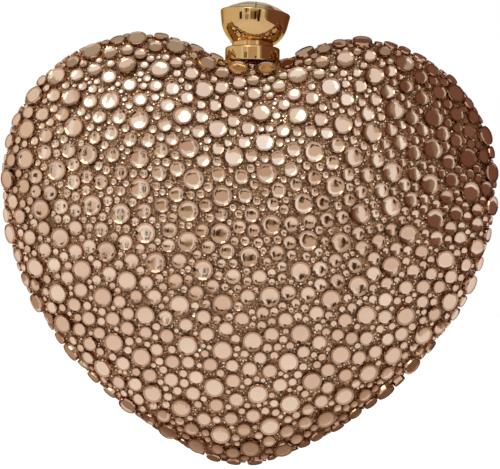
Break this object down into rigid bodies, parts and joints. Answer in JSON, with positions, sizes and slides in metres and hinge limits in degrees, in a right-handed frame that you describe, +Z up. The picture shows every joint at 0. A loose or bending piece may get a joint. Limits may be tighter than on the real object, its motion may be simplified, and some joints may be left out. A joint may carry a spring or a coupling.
{
  "type": "heart shaped purse",
  "caption": "Heart-shaped hard evening purse: domed halves hinged at the tip, set all over with flat-backed crystals, closed by a sprung press knob in the cleft.",
  "frame": {"origin": "under the middle of the hinge at the tip of the heart, in the plane where the halves meet", "axes": "+Z up from the tip to the clasp in the cleft, +X across the heart, -Y towards the front half"},
  "size_m": [0.1593, 0.05, 0.1497],
  "materials": {
    "shell_abs": "moulded ABS",
    "stone_bed": "mesh fabric with fused glitter grains",
    "foiled_crystal": "champagne foil-backed cut glass",
    "gold_plate": "polished gold plate",
    "lining_satin": "satin",
    "spring_steel": "bright nickel",
    "clear_crystal": "cut glass, gold foil behind"
  },
  "bodies": {
    "back_half": {"back_shell": "shell_abs", "back_cover": "stone_bed", "back_lining": "lining_satin", "back_frame": "gold_plate", "back_large_stones": "foiled_crystal", "back_medium_stones": "foiled_crystal", "back_knuckle": "gold_plate", "hinge_pin": "spring_steel", "catch_spring": "spring_steel", "catch_rivets": "gold_plate", "strap_eye_left": "gold_plate", "strap_eye_right": "gold_plate", "strap_rivets": "gold_plate", "clasp_collar": "gold_plate", "clasp_spring": "spring_steel"},
    "front_half": {"front_shell": "shell_abs", "front_cover": "stone_bed", "front_lining": "lining_satin", "front_frame": "gold_plate", "front_large_stones": "foiled_crystal", "front_medium_stones": "foiled_crystal", "front_knuckles": "gold_plate", "striker": "spring_steel", "striker_rivets": "gold_plate"},
    "clasp_button": {"clasp_knob": "gold_plate", "clasp_crystal": "clear_crystal", "clasp_stem": "spring_steel", "stem_clip": "spring_steel"}
  },
  "joints": [
    {"name": "lid_hinge", "type": "hinge", "parent": "back_half", "child": "front_half", "pos_m": [0, 0, 0.00185], "axis": [1, 0, 0], "range_deg": [0, 95], "deforming": ["catch_spring"]},
    {"name": "clasp_press", "type": "slide", "parent": "back_half", "child": "clasp_button", "axis": [0, 0, -1], "range_m": [0, 0.0013], "stiffness_N_per_m": 700, "springref_m": -0.002, "deforming": ["clasp_spring", "catch_spring"]}
  ]
}
